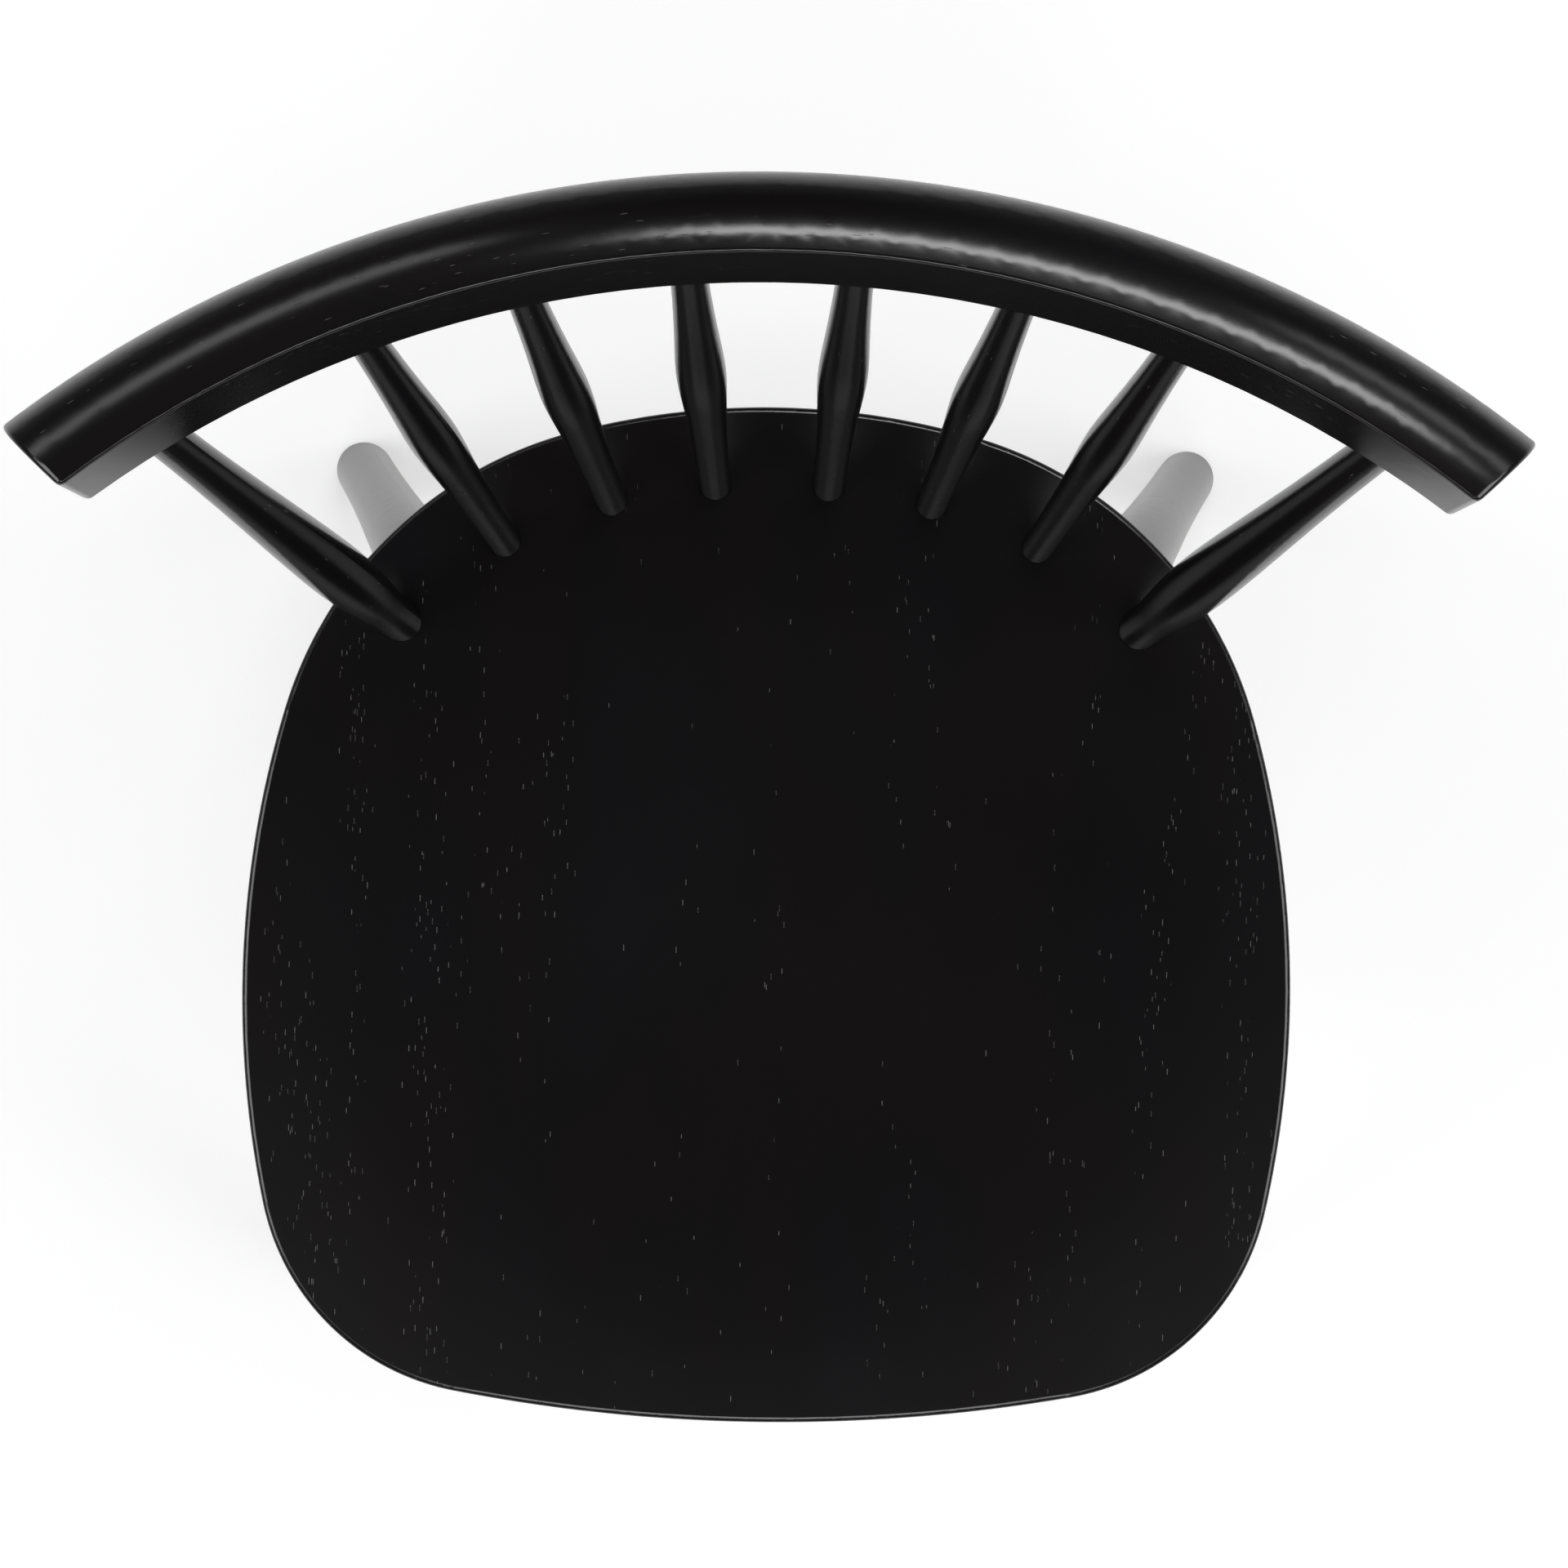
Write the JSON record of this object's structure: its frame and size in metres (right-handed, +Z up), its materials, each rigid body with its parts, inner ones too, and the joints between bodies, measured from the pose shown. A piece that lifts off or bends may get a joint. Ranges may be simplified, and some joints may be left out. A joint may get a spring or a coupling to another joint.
{
  "type": "windsor chair",
  "caption": "low-back windsor dining chair in black wood: saddled seat on raked turned legs with stretchers, turned back spindles under a thick curved crest rail",
  "frame": {"origin": "on the floor, under the middle of the whole chair's bounding box", "axes": "+X to the right seen from the front, +Y to the back of the chair, +Z up"},
  "size_m": [0.5796, 0.5312, 0.7489],
  "materials": {
    "black_wood": "open-pored wood stained black under a satin lacquer",
    "glide_plastic": "moulded nylon, matte",
    "nail_steel": "plain bright steel wire nail"
  },
  "bodies": {
    "root": {"seat": "black_wood", "crest_rail": "black_wood", "spindle_1": "black_wood", "spindle_2": "black_wood", "spindle_3": "black_wood", "spindle_4": "black_wood", "spindle_5": "black_wood", "spindle_6": "black_wood", "back_post_left": "black_wood", "back_post_right": "black_wood", "leg_front_left": "black_wood", "leg_front_right": "black_wood", "leg_rear_left": "black_wood", "leg_rear_right": "black_wood", "stretcher_left": "black_wood", "stretcher_right": "black_wood", "stretcher_cross": "black_wood", "glide_front_left": "glide_plastic", "glide_front_right": "glide_plastic", "glide_rear_left": "glide_plastic", "glide_rear_right": "glide_plastic", "glide_nails": "nail_steel"}
  },
  "joints": []
}
